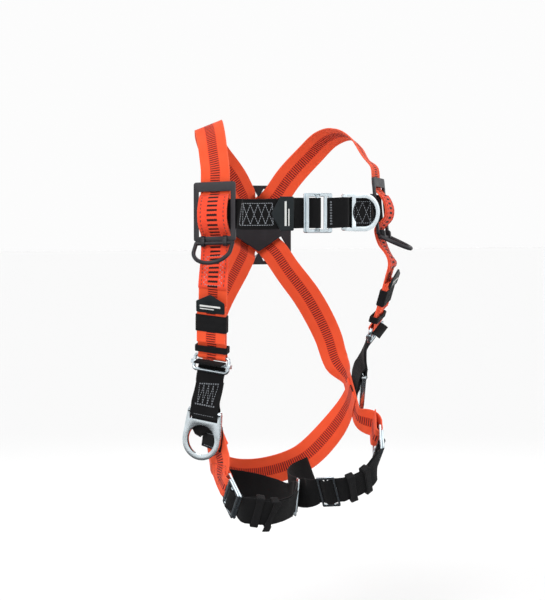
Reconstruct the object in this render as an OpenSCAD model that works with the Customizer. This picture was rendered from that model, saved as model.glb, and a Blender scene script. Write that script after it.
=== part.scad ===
// Full body safety harness in its worn shape: five-point webbing, steel and plastic hardware.
// The wearer faces -Y, the wearer's right is -X, and +Z is up.
// The origin lies midway between the undersides of the two shoulder straps at their highest place.

/* [Webbing] */
// Width of every strap
web_w = 45; // [43:0.5:45.5]
// Thickness of one layer of webbing
web_t = 2; // [1.6:0.1:2]
// Gap left between layers that lie on each other
ply_gap = 0.3; // [0.2:0.05:0.4]

/* [Shoulder keeper] */
// Height of the plastic keeper frame
keeper_h = 90; // [88:1:94]
// Width of the plastic keeper frame
keeper_w = 64; // [62:1:68]
// Thickness of the keeper frame
keeper_t = 4; // [3:0.5:4]
// Thickness of the keeper's D loop
keeper_rod = 6; // [5:0.5:6]
// Length of the keeper's D loop from its bar
keeper_reach = 44; // [40:1:50]

/* [Hip D-rings] */
// Inside diameter of the hip D-ring's eye
hip_eye_d = 45; // [42:0.5:46]
// Plate thickness of the hip D-ring
hip_plate_t = 6; // [5:0.5:6]
// Diameter of the bar that the webbing holds
hip_bar_d = 8; // [7:0.5:8]

/* [Chest D-ring] */
// Inside width of the chest D-ring's eye
chest_eye_w = 43; // [40:1:44]
// Plate thickness of the chest D-ring
chest_plate_t = 5; // [4:0.5:5]

/* [Back D-ring] */
// Inside diameter of the back D-ring's eye
back_eye_d = 50; // [46:1:52]
// Plate thickness of the back D-ring
back_plate_t = 7; // [6:0.5:7]
// Lean of the back D-ring away from the back plate, in degrees
back_lean = 42; // [40:1:50]

/* [Buckles] */
// Length of the mating buckle's catch plate, along the strap
catch_l = 34; // [32:1:34]
// Width of the buckle plates, across the strap
catch_w = 59; // [57:1:60]
// Thickness of the buckle plates
catch_t = 3; // [2.5:0.5:3]
// Diameter of the sliding bars that grip the webbing
slide_bar_d = 6; // [5:0.5:6]

/* [Hidden] */

orange = "#ff6432";
deep_orange = "#ff4628";
black_web = "#1c1c1e";
steel = "#c8d2dc";
plastic = "#3c3c41";

// One layer of webbing and the gap to the next
ply = web_t + ply_gap;
// How far a layer's middle stays from the surface it lies on
lift = ply_gap + web_t / 2;
// Longest step between the rings of a strap
ring_step = 14;

// --- directions and seats ---

function unit(v) = v / norm(v);
function facing(az, el) = [cos(el) * cos(az), cos(el) * sin(az), sin(el)];
// A seat is [place, along, across, out]: where a piece sits and which way it lies.
// It faces the heading az and elevation el, along points down, and roll turns it about out.
function seat(p, az, el, roll = 0) =
  let (out = facing(az, el),
       down = [sin(el) * cos(az), sin(el) * sin(az), -cos(el)],
       side = cross(out, down))
  [p, down * cos(roll) + side * sin(roll), side * cos(roll) - down * sin(roll), out];
function at(s, u, n, v = 0) = s[0] + s[1] * u + s[2] * v + s[3] * n;

module placed(s)
  multmatrix([[s[1].x, s[2].x, s[3].x, s[0].x], [s[1].y, s[2].y, s[3].y, s[0].y],
    [s[1].z, s[2].z, s[3].z, s[0].z], [0, 0, 0, 1]]) children();

// --- straps ---
// A route is a list of [place, outward face]; a strap follows it on a smooth curve.

// A place on the body, with the heading and elevation of the strap's outer face
function on(x, y, z, az, el) = [[x, y, z], facing(az, el)];
// A place in a seat, u along and n out of it
function by(s, u, n, v = 0) = [at(s, u, n, v), s[3]];
// The same with the outer face turned to the angle a, where 90 is out and 0 is along
function leaning(s, u, n, a, v = 0) = [at(s, u, n, v), s[1] * cos(a) + s[3] * sin(a)];
// The same place moved out of its face by d
function over(q, d) = [q[0] + q[1] * d, q[1]];
// The same place with its outer face turned over
function flipped(q) = [q[0], -q[1]];
// A turn about a bar at u0, n0 of a seat; face is 1 where the outer face is away from the bar
function turn(s, u0, n0, r, a0, a1, face, v = 0, steps = 6) =
  [for (k = [0:steps]) let (a = a0 + (a1 - a0) * k / steps)
    [at(s, u0 + r * cos(a), n0 + r * sin(a), v), face * (s[1] * cos(a) + s[3] * sin(a))]];
// The same turn with a short straight run before and after it
function led(s, u0, n0, r, a0, a1, face, v = 0, steps = 6, lead = 2) =
  let (d = lead * sign(a1 - a0), q = turn(s, u0, n0, r, a0, a1, face, v, steps))
  concat([[q[0][0] + (s[1] * sin(a0) - s[3] * cos(a0)) * d, q[0][1]]], q,
    [[q[steps][0] - (s[1] * sin(a1) - s[3] * cos(a1)) * d, q[steps][1]]]);
// The place p moved out of the seat j's face until it lies n above it
function laid(j, p, n) = [p + j[3] * (n - (p - j[0]) * j[3]), j[3]];

function reach(r, i) = norm(r[i + 1][0] - r[i][0]);
function heading(r, i) = i == 0 ? unit(r[1][0] - r[0][0])
  : i == len(r) - 1 ? unit(r[i][0] - r[i - 1][0])
  : let (a = reach(r, i - 1), b = reach(r, i))
    ((r[i][0] - r[i - 1][0]) * b / a + (r[i + 1][0] - r[i][0]) * a / b) / (a + b);
function between(r, i, t) =
  let (d = reach(r, i), q = t * t, h = q * t)
  [r[i][0] * (2 * h - 3 * q + 1) + heading(r, i) * d * (h - 2 * q + t)
     + r[i + 1][0] * (3 * q - 2 * h) + heading(r, i + 1) * d * (h - q),
   unit(r[i][1] * (1 - t) + r[i + 1][1] * t)];
function smooth(r) =
  [for (i = [0:len(r) - 2]) let (n = max(1, round(reach(r, i) / ring_step)))
     for (k = [0:n - 1]) between(r, i, k / n), r[len(r) - 1]];

// The rings of a strap: each is [middle, along, across, out]
function rings(s) = let (last = len(s) - 1)
  [for (i = [0:last])
    let (along = unit(s[min(i + 1, last)][0] - s[max(i - 1, 0)][0]),
         across = unit(cross(s[i][1], along)))
    [s[i][0], along, across, cross(along, across)]];
// The same rings moved out by d, for a layer that lies on the strap
function raised(r, d) = [for (q = r) [q[0] + q[3] * d, q[1], q[2], q[3]]];

module web(r, w = web_w, t = web_t) {
  last = len(r) - 1;
  corners = [for (q = r) for (c = [[1, 1], [-1, 1], [-1, -1], [1, -1]])
    q[0] + q[2] * c[0] * w / 2 + q[3] * c[1] * t / 2];
  // the inner faces are split along the same diagonal as the outer ones, so layers nest
  sides = [for (i = [0:last - 1]) for (j = [0:3])
    let (a = 4 * i + j, b = 4 * i + (j + 1) % 4, c = a + 4, d = b + 4)
    each j == 2 ? [[a, c, b], [b, c, d]] : [[a, c, d], [a, d, b]]];
  e = 4 * last;
  ends = [[0, 1, 2], [0, 2, 3], [e, e + 2, e + 1], [e, e + 3, e + 2]];
  polyhedron(corners, concat(sides, ends));
}
module strap(route, w = web_w, t = web_t) web(rings(smooth(route)), w, t);

// --- where the hardware sits ---

keeper_r = seat([-138, -46, -129], -128, 6, 2);
keeper_l = seat([135, -46, -121], -41, 6, -2);
bundle_r = seat([-142, -47, -300], -132, -14, -6);
bundle_l = seat([141, -43, -260], -38, -18, 12);
adjuster_r = seat([-140, -35, -358], -135, 8, -7);
adjuster_l = seat([137, -23, -315], -40, -12, 19);
hip_r = seat([-150, -36, -427], -136, 0, -8);
hip_l = seat([131, 14, -380], -12, 0, 22);
join_r = seat([-131, -28, -469], -164, 4, 28);
join_l = seat([119, 21, -420], -9, 5, -34);
chest_buckle = seat([0, -103, -131], -91, 0, 90);
chest_ring = seat([46, -104, -130], -80, 0, 90);
back = seat([0, 118, -150], 90, 0);
leg_buckle_r = seat([-121, -70, -553], -178, -10, 224);
leg_buckle_l = seat([130, -52, -495], -16, -5, 140);
slide_r = seat([-6, -46, -562], -18, -6, 86);
slide_l = seat([31, -82, -551], -126, -30, -84);

// --- hardware sizes ---

bar_w = 5;                      // width of the buckles' edge bars
catch_slot = 24;                // half the buckles' clear width across the strap
grip_u = 2;                     // the sliding bar's place along a catch
grip_n = catch_t / 2;           // and out of it
frame_lo = -catch_t - ply_gap;  // the buckle frame's back face
frame_bar_u = 24;               // middle of the frame bar that the fixed strap loops
loop_n = frame_lo / 2 - ply_gap / 2;
adj_rod = 5;                    // rod of the torso adjuster's frame
adj_top = -14;                  // its top bar, along the strap
adj_low = 8;                    // its low bar
adj_grip = -2.6;                // its sliding bar
key_top = 15;                   // height of the keeper's top bar
key_low = 6;                    // height of its low bar
key_side = 7;                   // width of its side bars
key_pin_u = keeper_h / 2 + 2;   // the pin line of the keeper's loop
key_pin_n = 3;
slot_gap = 8.5;                 // height of the slot under a D-ring's top bar
cross_h = 7;                    // height of a D-ring's crossbar
back_angle = 32;                // lean of the crossed back straps from upright
back_slot = 45;                 // distance of the back plate's slots from the crossing
bar_n = 2 + ply_gap + hip_bar_d / 2;  // back D-ring's bar, out of the back plate

grip_r = slide_bar_d / 2 + lift;
bar_r = hip_bar_d / 2 + lift;
loop_r = 3.35 + lift;
rod_r = adj_rod / 2 + lift + 0.4;

// --- routes ---

// Under a catch's bar, round its sliding bar and back: a strap that comes along u
function catch_in(s) = [by(s, -34, -7.4), by(s, -14, -7.8)];
function catch_turn(s) = concat([by(s, -6, -5.4)],
  turn(s, grip_u, grip_n, grip_r, -70, 124, -1, steps = 7), [leaning(s, -12.3, -5, -62)]);
// The looped end on a frame's far bar, from the sewn tail on the body side to the front
function loop_end(s) = concat([leaning(s, 58, -6.2, 270), leaning(s, 36, -6.4, 270)],
  led(s, frame_bar_u, loop_n, loop_r, 270, 90, 1), [by(s, 32, 2.6), by(s, 38, 2.6)]);
// Across the front of a D-ring's top bar and through its slot to behind the crossbar
function through_ring(s, r) = concat(turn(s, 0, 0, r, 115, 47, 1, steps = 3),
  [leaning(s, slot_gap + r - 1.6, -4.6, 62), by(s, 21, -4.8)]);

// Right shoulder to left hip (side 1) or left shoulder to right hip (side -1) on the back plate
function crossing(side, lift_n) =
  [for (q = [[-80, -10], [-62, -6.5], [-53, -4.5], [-46, 1], [-40, 8.6], [-35, 11.6], [-29, 11.7],
             [29, 11.7], [35, 11.6], [40, 8.6], [46, 1], [53, -4.5], [62, -6.5], [80, -10]])
    let (m = abs(q[0]), up = m < 43 ? lift_n : m < 48 ? lift_n / 2 : 0)
    by(back, q[0] * cos(back_angle), q[1] + up, -side * q[0] * sin(back_angle))];
// Past the shoulder keeper: behind its top bar, out through the window, behind its low bar
function past_keeper(s, low) =
  [for (q = [[-60, -3.6], [-45, -3.3], [-33, -3.8], [-27, -2.6], [-19, 3.8], [-8, 10], [7, 13], [19, 9.5],
             [25.5, 2.5], [34, -6.2], [46, -6.1], [60, low]]) by(s, q[0], q[1])];
// The folded spare end in front of the strap, between the adjuster and the tag
function folds(s, top, low, end) = concat(
  [leaning(s, low + 4, ply, 270), leaning(s, low, ply, 270)],
  led(s, top, 1.5 * ply, ply / 2, 270, 90, 1, steps = 4),
  led(s, low, 2.5 * ply, ply / 2, -90, 90, -1, steps = 4), [leaning(s, end, 3 * ply, 270)]);
// From the bundle round the adjuster's top bar and back up into the folds
function adjuster_end(b, a, head, top, low, end) = concat(
  [by(b, head - 5, 0), by(b, head, 0), by(b, 30, 0), by(b, 34, -0.2)],
  led(a, adj_top, 0, rod_r, 245, 450, -1, steps = 7), folds(b, top, low, end));
// The hip strap's end: folded stop, over the sliding bar, behind the low bar
function adjuster_grip(a) = concat(
  [leaning(a, -1, 15, -28), leaning(a, -5, 7, -18)],
  led(a, adj_grip, 0, grip_r, 165, 270, -1, lead = 1),
  [by(a, 5, -4.1), by(a, adj_low, -3.9), by(a, 20, -3.2)]);
function reversed(r) = [for (i = [len(r) - 1:-1:0]) r[i]];

shoulder_right = concat(
  loop_end(leg_buckle_l), [for (u = [34, 28, -28, -34]) by(join_l, u, 0)],
  [on(109, 56, -368, 38, -2), on(102, 74, -328, 52, -2), on(76, 93, -268, 70, -4)],
  reversed(crossing(1, 0)),
  [on(-86, 92, -34, 112, 34), on(-108, 60, -8, 140, 58), on(-121, 24, 1, 180, 68),
   on(-129, -8, -18, -142, 45), on(-132, -26, -46, -134, 24)],
  past_keeper(keeper_r, -5), [on(-143, -58, -212, -130, -4)],
  adjuster_end(bundle_r, adjuster_r, -55, -34, 21, -36));
shoulder_left = concat(
  loop_end(leg_buckle_r), [for (u = [34, 28, -28, -34]) by(join_r, u, 0)],
  [on(-122, 38, -395, 155, -2), on(-104, 68, -342, 134, -2),
   on(-76, 93, -272, 110, -4)],
  reversed(crossing(-1, 1.15 * ply)),
  [on(78, 92, -38, 68, 34), on(92, 60, -14, 44, 58), on(103, 24, -8, 4, 68),
   on(112, -8, -23, -30, 45), on(119, -28, -47, -38, 24)],
  past_keeper(keeper_l, -2.4),
  adjuster_end(bundle_l, adjuster_l, -47, -26, 18, -30));

// The hip strap: adjuster, front of the hip D-ring's top bar, behind its eye, to the join
function hip_route(a, mid, h, j) = concat(adjuster_grip(a), mid, [leaning(h, -15, 4.4, 100)],
  through_ring(h, bar_r), [for (u = [32, 37, 56]) laid(j, at(h, u, 0), 2 * ply)]);
// Its second layer, which closes behind the top bar
function hip_back(mid, h, j) = concat([for (q = mid) over(q, -ply)],
  [leaning(h, -16, 1.6, 105), by(h, -5, -4.6), by(h, 0, -5.6), by(h, 9, -7), by(h, 21, -7.1)],
  [for (u = [32, 37, 56]) laid(j, at(h, u, 0), ply)]);
hip_mid_r = [on(-142, -34, -382, -136, 6), on(-146, -37, -396, -136, 8)];
hip_mid_l = [on(132, -8, -337, -28, -10), on(133, -1, -350, -24, -4)];

chest_mid_r = [on(-108, -81, -133, -116, 0), on(-82, -96, -133, -105, 0), on(-54, -107, -132, -97, 0)];
chest_right = concat(
  [for (v = [-20, 0, 20]) by(keeper_r, 4, -3.5, v)], [by(keeper_r, 4, -4.4, 34)], chest_mid_r,
  catch_in(chest_buckle), catch_turn(chest_buckle),
  [by(chest_buckle, -20, -4.9)], [flipped(over(chest_mid_r[2], 1.2 * ply))]);
chest_left = concat(
  [by(chest_ring, 54, -4.6)], reversed(through_ring(chest_ring, bar_r)),
  turn(chest_buckle, frame_bar_u, loop_n, loop_r, 90, 270, 1),
  [leaning(chest_ring, 2, -5.6, 270), leaning(chest_ring, 21, -6.9, 270),
   flipped(on(100, -86, -129, -66, 0))],
  [leaning(keeper_l, 4, -4.4, 270, -34)], [for (v = [-20, 0, 20]) leaning(keeper_l, 4, -3.5, 270, v)]);

leg_mid_r = [on(-96, -93, -568, -112, -24), on(-72, -98, -572, -92, -34),
  on(-48, -93, -570, -73, -32), on(-24, -75, -565, -48, -18)];
leg_rear_r = [on(-3, -12, -568, 6, 0), on(-14, 28, -566, 34, -4), on(-38, 58, -560, 66, -6),
  on(-72, 70, -554, 104, -8)];
leg_mid_l = [on(107, -86, -516, -60, -16), on(86, -95, -533, -78, -28), on(62, -96, -543, -99, -34)];
leg_rear_l = [on(9, -50, -556, -172, 0), on(4, -14, -558, 176, 0), on(14, 28, -556, 146, -4),
  on(38, 58, -550, 114, -6), on(72, 70, -542, 76, -8)];
// Through a three-bar slide: behind, over the middle bar, behind
function through_slide(s) = [for (q = [[-20, -3.2], [-11.5, -3.1], [-6.2, -0.5], [-2, 2.8],
  [2, 2.8], [6.2, -0.5], [11.5, -3.1], [20, -3.2]]) by(s, q[0], q[1])];
// A leg strap: sewn end at the back, between the legs, slide, thigh, catch, spare end
function leg_route(b, mid, slide, rear) = concat(
  reversed(rear), reversed(through_slide(slide)), reversed(mid),
  [leaning(b, -22, -8.6, 96), by(b, -14, -7.8)], catch_turn(b),
  [leaning(b, -20, -4.9, 270)], [for (q = mid) flipped(over(q, 1.5 * ply))]);
sub_pelvic = [by(join_r, -5, -1.1 * ply, 18), by(join_r, 0, -1.1 * ply, -4),
  by(join_r, 1, -1.1 * ply, -10), on(-122, 22, -500, 160, -8), on(-98, 56, -520, 134, -10),
  on(-62, 80, -538, 106, -6), on(0, 90, -542, 90, -4), on(62, 80, -522, 74, -6),
  on(98, 64, -484, 44, -8),
  by(join_l, 1, -1.1 * ply, 10), by(join_l, 0, -1.1 * ply, 4), by(join_l, -5, -1.1 * ply, -18)];

// --- straps and their keepers ---

module shoulder_strap(route) color(orange) strap(route);
module strap_reinforcement(route, side, bottom) {
  whole = rings(smooth(route));
  lying = [for (q = whole)
    if (q[0].y < -30 && q[0].x * side > 110 && q[0].z < keeper_r[0].z + 26 && q[0].z > bottom) q];
  color(deep_orange) web(raised(lying, ply));
}
module hip_strap(a, mid, h, j) color(black_web) {
  strap(hip_route(a, mid, h, j));
  strap(hip_back(mid, h, j));
}
module black_strap(route) color(black_web) strap(route);
module sub_pelvic_strap() color(orange) strap(sub_pelvic);

// A band round layers of strap: inside size across and out, from n_lo, length along
module band(s, u, n_lo, n_hi, length, wall, inside = web_w + 0.8)
  placed(s) translate([u - length / 2, 0, 0]) rotate([90, 0, 90]) linear_extrude(length)
    difference() {
      translate([0, (n_lo + n_hi) / 2]) offset(r = wall, $fn = 16)
        square([inside, n_hi - n_lo], center = true);
      translate([0, (n_lo + n_hi) / 2]) square([inside, n_hi - n_lo], center = true);
    }
band_lo = -web_t / 2 - ply_gap;
module elastic_keeper(s, u)
  color(black_web) band(s, u, band_lo, 3 * ply + web_t / 2 + ply_gap, 26, 1.4);
module wrap_keeper(s)
  color(black_web) band(s, 33, band_lo - 3.9, ply + web_t / 2 + 3.2, 10, 1.4, web_w + 3.4);
module leg_keeper(m, k, length, u = 0) color(black_web)
  band(mid_seat(m, k), u, band_lo - 2.1, 1.5 * ply + web_t / 2 + 2.8, length, 1.6, web_w + 3.6);

// A five-cornered tag with its point at low u
module tag(s, length, width, point, t)
  placed(s) linear_extrude(t) offset(r = 2, $fn = 24) offset(delta = -2)
    polygon([[-length / 2, 0], [-length / 2 + point, width / 2], [length / 2, width / 2],
      [length / 2, -width / 2], [-length / 2 + point, -width / 2]]);
function tag_seat(b, u) = [at(b, u, 3 * ply + web_t / 2 + 2.2), unit(b[1] - 0.06 * b[3]), b[2],
  unit(b[3] + 0.06 * b[1])];
module torso_tag(b, u) color(plastic) tag(tag_seat(b, u), 29, 44, 12, 2.5);
chest_tag_seat = seat([-58, -112, -132], -98.5, 0, 90);
module chest_tag() color(plastic) tag(chest_tag_seat, 34, 50, 14, 2.5);

// --- D-rings ---

// A flat ring with a bar of its own, a slot for the webbing and an eye
module ring_plate(eye_r, eye_u, rim, t, top_w, straight = 0)
  translate([0, 0, -t / 2]) difference() {
    linear_extrude(t) hull() {
      translate([eye_u, 0]) circle(r = eye_r + rim, $fn = 64);
      if (straight > 0) translate([eye_u - straight, 0]) square([1, 2 * (eye_r + rim)], center = true);
      for (v = [-1, 1]) translate([0, v * (top_w / 2 - 4)]) circle(r = 4, $fn = 24);
    }
    translate([eye_u, 0, -1]) cylinder(r = eye_r, h = t + 2, $fn = 96);
    if (straight > 0) translate([eye_u - straight, -eye_r, -1]) cube([straight, 2 * eye_r, t + 2]);
    translate([-5, -top_w / 2 + 4.5, -1]) cube([slot_gap + 9, top_w - 9, t + 2]);
  }
module ring_bar(d, top_w) rotate([90, 0, 0]) cylinder(d = d, h = top_w - 2, center = true, $fn = 32);
hip_top_w = web_w + 10;
hip_eye_u = slot_gap + 4 + cross_h + hip_eye_d / 2;
module hip_d_ring(s) color(steel) placed(s) {
  ring_plate(hip_eye_d / 2, hip_eye_u, 8, hip_plate_t, hip_top_w);
  ring_bar(hip_bar_d, hip_top_w);
}
chest_eye_u = slot_gap + 4 + cross_h + 16;
module chest_d_ring() color(steel) placed(chest_ring) {
  ring_plate(chest_eye_w / 2, chest_eye_u, 7, chest_plate_t, hip_top_w, straight = 16);
  ring_bar(hip_bar_d, hip_top_w);
}

// --- back plate and its D-ring ---

back_top_w = 88;
back_eye_u = 52;
back_ring = [at(back, 0, bar_n), unit(back[1] * cos(back_lean) + back[3] * sin(back_lean)), back[2],
  unit(back[3] * cos(back_lean) - back[1] * sin(back_lean))];
module back_d_ring() color(steel) placed(back_ring) {
  translate([0, 0, -back_plate_t / 2]) difference() {
    linear_extrude(back_plate_t) hull() {
      translate([back_eye_u, 0]) circle(r = back_eye_d / 2 + 8, $fn = 64);
      for (v = [-1, 1]) translate([3.1, v * (back_top_w / 2 - 5)]) circle(r = 5, $fn = 24);
    }
    translate([back_eye_u, 0, -1]) cylinder(d = back_eye_d, h = back_plate_t + 2, $fn = 96);
    translate([-6, -back_top_w / 2 + 7, -1]) cube([25, back_top_w - 14, back_plate_t + 2]);
  }
  ring_bar(hip_bar_d, back_top_w);
}
module back_plate() color(plastic) placed(back) translate([0, 0, -2]) difference() {
  linear_extrude(4) offset(r = 10, $fn = 32) square([106, 92], center = true);
  for (a = [-1, 1]) for (b = [-1, 1])
    rotate([0, 0, a * back_angle]) translate([b * back_slot, 0, 2])
      cube([18, web_w + 2, 6], center = true);
}

// --- shoulder keeper and its plastic loop ---

module keeper_frame(s) color(plastic) placed(s) difference() {
  union() {
    translate([0, 0, -keeper_t / 2]) linear_extrude(keeper_t) difference() {
      offset(r = 4, $fn = 24) square([keeper_h - 10, keeper_w - 8], center = true);
      translate([(key_top - key_low - 2) / 2, 0])
        square([keeper_h - 2 - key_top - key_low, keeper_w - 2 * key_side], center = true);
    }
    for (v = [-1, 1]) translate([key_pin_u - 6, v * 17, key_pin_n]) rotate([90, 0, 0])
      cylinder(r = 5, h = 6, center = true, $fn = 32);
    for (v = [-1, 1]) translate([key_pin_u - 5, v * 17 - 3, key_pin_n - 5]) cube([5, 6, 10]);
    for (v = [-1, 1]) translate([key_pin_u, v * 17, key_pin_n]) rotate([90, 0, 0])
      cylinder(r = 5, h = 6, center = true, $fn = 32);
  }
  translate([key_pin_u, 0, key_pin_n]) rotate([90, 0, 0])
    cylinder(d = keeper_rod + 0.6, h = 60, center = true, $fn = 48);
}
function keeper_pin(s, lean) = [at(s, key_pin_u, key_pin_n),
  unit(s[1] * cos(lean) + s[3] * sin(lean)), s[2], unit(s[3] * cos(lean) - s[1] * sin(lean))];
module keeper_loop(s, lean) {
  bend = keeper_w / 2 - 4;
  arm = keeper_reach - bend;
  color(plastic) placed(keeper_pin(s, lean)) {
    rotate([90, 0, 0]) cylinder(d = keeper_rod, h = 2 * bend, center = true, $fn = 32);
    for (v = [-1, 1]) translate([0, v * bend, 0]) {
      sphere(d = keeper_rod, $fn = 32);
      rotate([0, 90, 0]) cylinder(d = keeper_rod, h = arm, $fn = 32);
    }
    translate([arm, 0, 0]) rotate([0, 0, -90]) rotate_extrude(angle = 180, $fn = 64)
      translate([bend, 0]) circle(d = keeper_rod, $fn = 32);
  }
}

// --- mating buckles ---

// A flat four-sided ring from u0 to u1, with rounded corners
module flat_ring(u0, u1, w, edge, clear_half, t)
  linear_extrude(t) difference() {
    translate([(u0 + u1) / 2, 0]) offset(r = 3, $fn = 24) square([u1 - u0 - 6, w - 6], center = true);
    translate([u0 + edge, -clear_half]) square([u1 - u0 - 2 * edge, 2 * clear_half]);
  }
module buckle_catch(s) color(steel) placed(s) difference() {
  flat_ring(-catch_l / 2, catch_l / 2, catch_w, bar_w, catch_slot, catch_t);
  translate([grip_u - 6, -catch_w / 2 + 2.5, -1]) cube([9.5, catch_w - 5, catch_t + 2]);
}
module buckle_frame(s) color(steel) placed(s) translate([0, 0, frame_lo])
  flat_ring(-catch_l / 2 - 2, frame_bar_u + 3, catch_w, bar_w + 1, catch_slot, catch_t);
module slide_bar(s) color(steel) placed(s) translate([grip_u, 0, grip_n]) {
  rotate([90, 0, 0]) cylinder(d = slide_bar_d, h = 2 * catch_slot - 0.6, center = true, $fn = 32);
  cube([5, catch_w - 6, catch_t - 0.6], center = true);
}

// --- torso adjusters ---

module adjuster_frame(s) color(steel) placed(s) {
  half_w = web_w / 2 + 5.5;
  r = 5;
  for (u = [adj_top, adj_low]) translate([u, 0, 0]) rotate([90, 0, 0])
    cylinder(d = adj_rod, h = 2 * (half_w - r), center = true, $fn = 32);
  for (v = [-1, 1]) translate([adj_top + r, v * half_w, 0]) rotate([0, 90, 0])
    cylinder(d = adj_rod, h = adj_low - adj_top - 2 * r, $fn = 32);
  for (c = [[adj_top + r, 1, 90], [adj_low - r, 1, 0], [adj_low - r, -1, -90], [adj_top + r, -1, 180]])
    translate([c[0], c[1] * (half_w - r), 0]) rotate([0, 0, c[2]])
      rotate_extrude(angle = 90, $fn = 48) translate([r, 0]) circle(d = adj_rod, $fn = 32);
}
module adjuster_bar(s) color(steel) placed(s) translate([adj_grip, 0, 0]) difference() {
  union() {
    rotate([90, 0, 0]) cylinder(d = slide_bar_d, h = web_w + 1, center = true, $fn = 32);
    for (v = [-1, 1]) translate([0, v * (web_w / 2 + 5.5), 0]) cube([6, 8, 9], center = true);
  }
  for (v = [-1, 1]) translate([0, v * (web_w / 2 + 5.5), 0]) rotate([0, 90, 0])
    cylinder(d = adj_rod + 0.7, h = 20, center = true, $fn = 48);
}

// --- leg slides ---

module leg_slide(s) color(steel) placed(s) translate([0, 0, -1.25]) linear_extrude(2.5)
  difference() {
    offset(r = 2, $fn = 24) square([24, web_w + 7], center = true);
    for (u = [-6.5, 6.5]) translate([u, 0]) square([9, web_w + 1.5], center = true);
  }

// --- leg keepers ---

// The seat of a leg strap at the k-th place of its thigh run
function mid_seat(m, k) = let (u = unit(heading(m, k)), c = unit(cross(m[k][1], u)))
  [m[k][0], u, c, cross(u, c)];

shoulder_strap(shoulder_right);  // shoulder_strap_right
shoulder_strap(shoulder_left);  // shoulder_strap_left
strap_reinforcement(shoulder_right, -1, -244);  // strap_reinforcement_right
strap_reinforcement(shoulder_left, 1, -218);  // strap_reinforcement_left
hip_strap(adjuster_r, hip_mid_r, hip_r, join_r);  // hip_strap_right
hip_strap(adjuster_l, hip_mid_l, hip_l, join_l);  // hip_strap_left
black_strap(chest_right);  // chest_strap_right
black_strap(chest_left);  // chest_strap_left
sub_pelvic_strap();
black_strap(leg_route(leg_buckle_r, leg_mid_r, slide_r, leg_rear_r));  // leg_strap_right
black_strap(leg_route(leg_buckle_l, leg_mid_l, slide_l, leg_rear_l));  // leg_strap_left
back_plate();
back_d_ring();
chest_d_ring();
hip_d_ring(hip_r);  // hip_d_ring_right
hip_d_ring(hip_l);  // hip_d_ring_left
buckle_catch(chest_buckle);  // chest_buckle_catch
buckle_frame(chest_buckle);  // chest_buckle_frame
slide_bar(chest_buckle);  // chest_buckle_bar
buckle_catch(leg_buckle_r);  // leg_buckle_catch_right
buckle_frame(leg_buckle_r);  // leg_buckle_frame_right
slide_bar(leg_buckle_r);  // leg_buckle_bar_right
buckle_catch(leg_buckle_l);  // leg_buckle_catch_left
buckle_frame(leg_buckle_l);  // leg_buckle_frame_left
slide_bar(leg_buckle_l);  // leg_buckle_bar_left
adjuster_frame(adjuster_r);  // torso_adjuster_frame_right
adjuster_bar(adjuster_r);  // torso_adjuster_bar_right
adjuster_frame(adjuster_l);  // torso_adjuster_frame_left
adjuster_bar(adjuster_l);  // torso_adjuster_bar_left
keeper_frame(keeper_r);  // keeper_frame_right
keeper_frame(keeper_l);  // keeper_frame_left
keeper_loop(keeper_r, 44);  // keeper_loop_right
keeper_loop(keeper_l, 60);  // keeper_loop_left
elastic_keeper(bundle_r, -8);  // elastic_keeper_right
elastic_keeper(bundle_l, -4);  // elastic_keeper_left
wrap_keeper(bundle_r);  // wrap_keeper_right
wrap_keeper(bundle_l);  // wrap_keeper_left
torso_tag(bundle_r, -40);  // torso_tag_right
torso_tag(bundle_l, -36);  // torso_tag_left
chest_tag();
leg_slide(slide_r);  // leg_slide_right
leg_slide(slide_l);  // leg_slide_left
leg_keeper(leg_mid_r, 0, 12, 5.5);  // leg_keeper_outer_right
leg_keeper(leg_mid_r, 1, 12);  // leg_keeper_inner_right
leg_keeper(leg_mid_l, 1, 12);  // leg_keeper_outer_left
leg_keeper(concat(leg_mid_l, [by(slide_l, -20, -3)]), 2, 12);  // leg_keeper_inner_left
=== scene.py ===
import math
from math import cos, pi, radians, sin

import bmesh
import bpy
import numpy as np
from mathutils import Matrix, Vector


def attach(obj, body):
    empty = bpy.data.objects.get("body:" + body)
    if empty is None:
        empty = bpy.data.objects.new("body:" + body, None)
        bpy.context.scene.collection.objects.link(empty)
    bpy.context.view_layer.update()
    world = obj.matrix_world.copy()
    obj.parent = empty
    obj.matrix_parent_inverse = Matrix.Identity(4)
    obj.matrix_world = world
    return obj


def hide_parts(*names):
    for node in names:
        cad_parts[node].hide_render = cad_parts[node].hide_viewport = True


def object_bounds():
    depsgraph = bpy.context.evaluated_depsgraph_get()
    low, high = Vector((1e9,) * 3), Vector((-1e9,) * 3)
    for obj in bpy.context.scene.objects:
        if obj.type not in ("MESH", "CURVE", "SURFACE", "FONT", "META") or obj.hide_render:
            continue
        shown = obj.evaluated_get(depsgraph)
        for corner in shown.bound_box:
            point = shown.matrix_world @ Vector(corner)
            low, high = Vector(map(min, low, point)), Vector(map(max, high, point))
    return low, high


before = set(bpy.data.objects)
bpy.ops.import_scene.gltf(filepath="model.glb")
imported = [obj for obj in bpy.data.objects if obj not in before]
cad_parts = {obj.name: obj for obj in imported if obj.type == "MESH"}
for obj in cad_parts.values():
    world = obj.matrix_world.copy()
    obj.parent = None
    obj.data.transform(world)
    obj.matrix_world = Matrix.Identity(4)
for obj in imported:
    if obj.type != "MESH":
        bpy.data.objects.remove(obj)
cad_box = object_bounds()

MM = 0.001
ROOT = "harness"

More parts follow.
